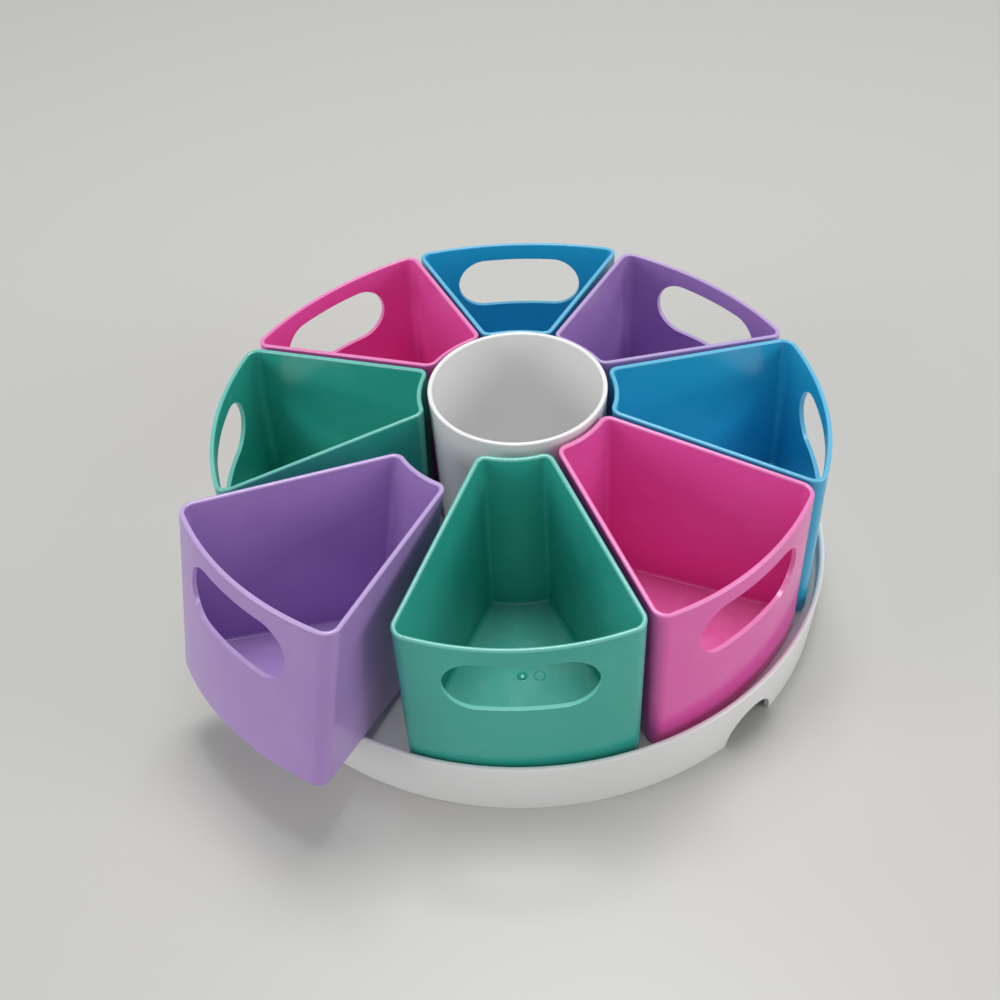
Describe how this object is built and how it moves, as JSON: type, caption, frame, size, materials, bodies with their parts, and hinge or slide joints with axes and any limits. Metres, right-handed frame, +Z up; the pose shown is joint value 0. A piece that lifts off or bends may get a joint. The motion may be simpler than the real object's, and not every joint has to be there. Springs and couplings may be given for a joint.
{
  "type": "desk storage caddy",
  "caption": "Round desk caddy: shallow tray with a centre cup ringed by loose wedge bins with grip slots, one bin drawn out and leaning on the rim.",
  "frame": {"origin": "on the tray's axis, at the bottom of its skirt, on the desk", "axes": "+Z up, -Y towards the front, where one bin faces straight out"},
  "size_m": [0.3091, 0.3172, 0.126],
  "materials": {
    "tray_grey": "satin moulded polystyrene",
    "cup_grey": "satin moulded polystyrene",
    "green": "satin moulded polystyrene",
    "pink": "satin moulded polystyrene",
    "blue": "satin moulded polystyrene",
    "purple": "satin moulded polystyrene"
  },
  "bodies": {
    "tray": {"tray": "tray_grey"},
    "centre_cup": {"centre_cup": "cup_grey"},
    "bin_front_green": {"bin_front_green": "green"},
    "bin_front_right_pink": {"bin_front_right_pink": "pink"},
    "bin_right_blue": {"bin_right_blue": "blue"},
    "bin_back_right_purple": {"bin_back_right_purple": "purple"},
    "bin_back_blue": {"bin_back_blue": "blue"},
    "bin_back_left_pink": {"bin_back_left_pink": "pink"},
    "bin_left_green": {"bin_left_green": "green"},
    "bin_front_left_purple": {"bin_front_left_purple": "purple"}
  },
  "joints": [
    {"name": "centre_cup_lift", "type": "slide", "parent": "tray", "child": "centre_cup", "axis": [0, 0, 1], "range_m": [0, 0.105]},
    {"name": "bin_front_green_lift", "type": "slide", "parent": "tray", "child": "bin_front_green", "axis": [0, 0, 1], "range_m": [0, 0.105]},
    {"name": "bin_front_right_pink_lift", "type": "slide", "parent": "tray", "child": "bin_front_right_pink", "axis": [0, 0, 1], "range_m": [0, 0.105]},
    {"name": "bin_right_blue_lift", "type": "slide", "parent": "tray", "child": "bin_right_blue", "axis": [0, 0, 1], "range_m": [0, 0.105]},
    {"name": "bin_back_right_purple_lift", "type": "slide", "parent": "tray", "child": "bin_back_right_purple", "axis": [0, 0, 1], "range_m": [0, 0.105]},
    {"name": "bin_back_blue_lift", "type": "slide", "parent": "tray", "child": "bin_back_blue", "axis": [0, 0, 1], "range_m": [0, 0.105]},
    {"name": "bin_back_left_pink_lift", "type": "slide", "parent": "tray", "child": "bin_back_left_pink", "axis": [0, 0, 1], "range_m": [0, 0.105]},
    {"name": "bin_left_green_lift", "type": "slide", "parent": "tray", "child": "bin_left_green", "axis": [0, 0, 1], "range_m": [0, 0.105]},
    {"name": "bin_front_left_purple_lift", "type": "slide", "parent": "tray", "child": "bin_front_left_purple", "axis": [0, 0, 1], "range_m": [0, 0.105]}
  ]
}
